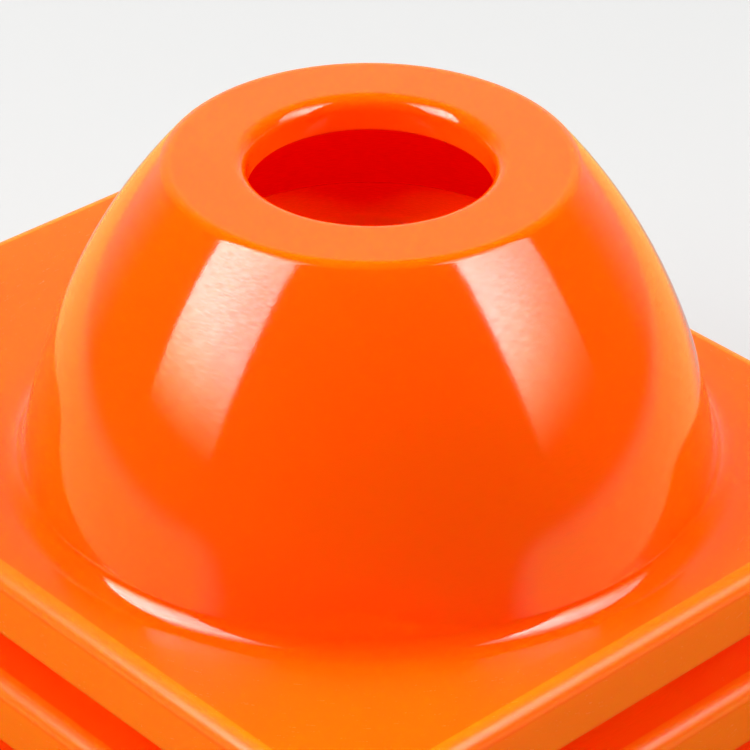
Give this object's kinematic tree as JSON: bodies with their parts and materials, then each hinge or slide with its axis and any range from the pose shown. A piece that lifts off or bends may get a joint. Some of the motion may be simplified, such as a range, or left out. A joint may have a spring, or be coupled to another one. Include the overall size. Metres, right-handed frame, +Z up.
{
  "type": "stack of sports marker cones",
  "caption": "Nested stack of low plastic marker domes on rectangular plates, each with a pole hole in its flat top; every marker lifts straight up off the one below.",
  "frame": {"origin": "middle of the plates' footprint, on the surface that the stack stands on", "axes": "+Z up along the domes; +Y from the domes towards the wide margin of the plates; X across the plates"},
  "size_m": [0.104, 0.125, 0.085],
  "materials": {
    "orange_plastic": "gloss moulded polyethylene, coloured through"
  },
  "bodies": {
    "bottom": {"marker_bottom": "orange_plastic"},
    "middle": {"marker_middle": "orange_plastic"},
    "top": {"marker_top": "orange_plastic"}
  },
  "joints": [
    {"name": "lift_middle", "type": "slide", "parent": "bottom", "child": "middle", "axis": [0, 0, 1], "range_m": [0, 0.04]},
    {"name": "lift_top", "type": "slide", "parent": "middle", "child": "top", "axis": [0, 0, 1], "range_m": [0, 0.04]}
  ]
}
